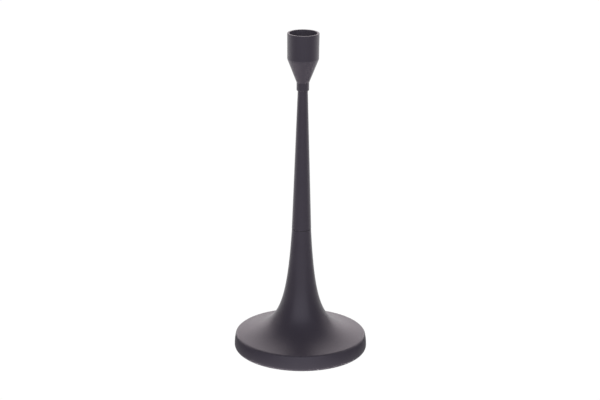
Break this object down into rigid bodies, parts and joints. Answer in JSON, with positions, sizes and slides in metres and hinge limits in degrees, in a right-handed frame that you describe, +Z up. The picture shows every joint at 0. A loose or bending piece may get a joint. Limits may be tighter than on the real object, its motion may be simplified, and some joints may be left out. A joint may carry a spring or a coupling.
{
  "type": "candle holder",
  "caption": "Tall slender holder for a dinner candle: trumpet foot, tapered stem and funnel-shaped cup that screw together.",
  "frame": {"origin": "on the surface that the holder stands on, at the middle of the felt pad", "axes": "+Z up along the axis of the foot, stem and cup; X and Y are level and equivalent, because every piece is round"},
  "size_m": [0.1105, 0.1104, 0.2713],
  "materials": {
    "black_coated_metal": "matte",
    "plated_steel": "satin",
    "washer_fibre": "matte",
    "felt": "matte"
  },
  "bodies": {
    "foot": {"base": "black_coated_metal", "felt_pad": "felt"},
    "lower_washer": {"stem_washer": "washer_fibre"},
    "stem": {"stem": "black_coated_metal", "stem_stud": "plated_steel"},
    "upper_washer": {"cup_washer": "washer_fibre"},
    "cup": {"cup": "black_coated_metal", "cup_stud": "plated_steel"}
  },
  "joints": [
    {"name": "stem_lift", "type": "slide", "parent": "foot", "child": "lower_washer", "axis": [0, 0, 1], "range_m": [0, 0.0125]},
    {"name": "stem_turn", "type": "hinge", "parent": "lower_washer", "child": "stem", "pos_m": [0, 0, 0.1064], "axis": [0, 0, 1], "range_deg": [0, 3600]},
    {"name": "cup_lift", "type": "slide", "parent": "stem", "child": "upper_washer", "axis": [0, 0, 1], "range_m": [0, 0.008]},
    {"name": "cup_turn", "type": "hinge", "parent": "upper_washer", "child": "cup", "pos_m": [0, 0, 0.224], "axis": [0, 0, 1], "range_deg": [0, 3600]}
  ],
  "couplings": [
    {"joint": "stem_turn", "follows": "stem_lift", "rad_per_m": 5026.5},
    {"joint": "cup_turn", "follows": "cup_lift", "rad_per_m": 7854}
  ]
}
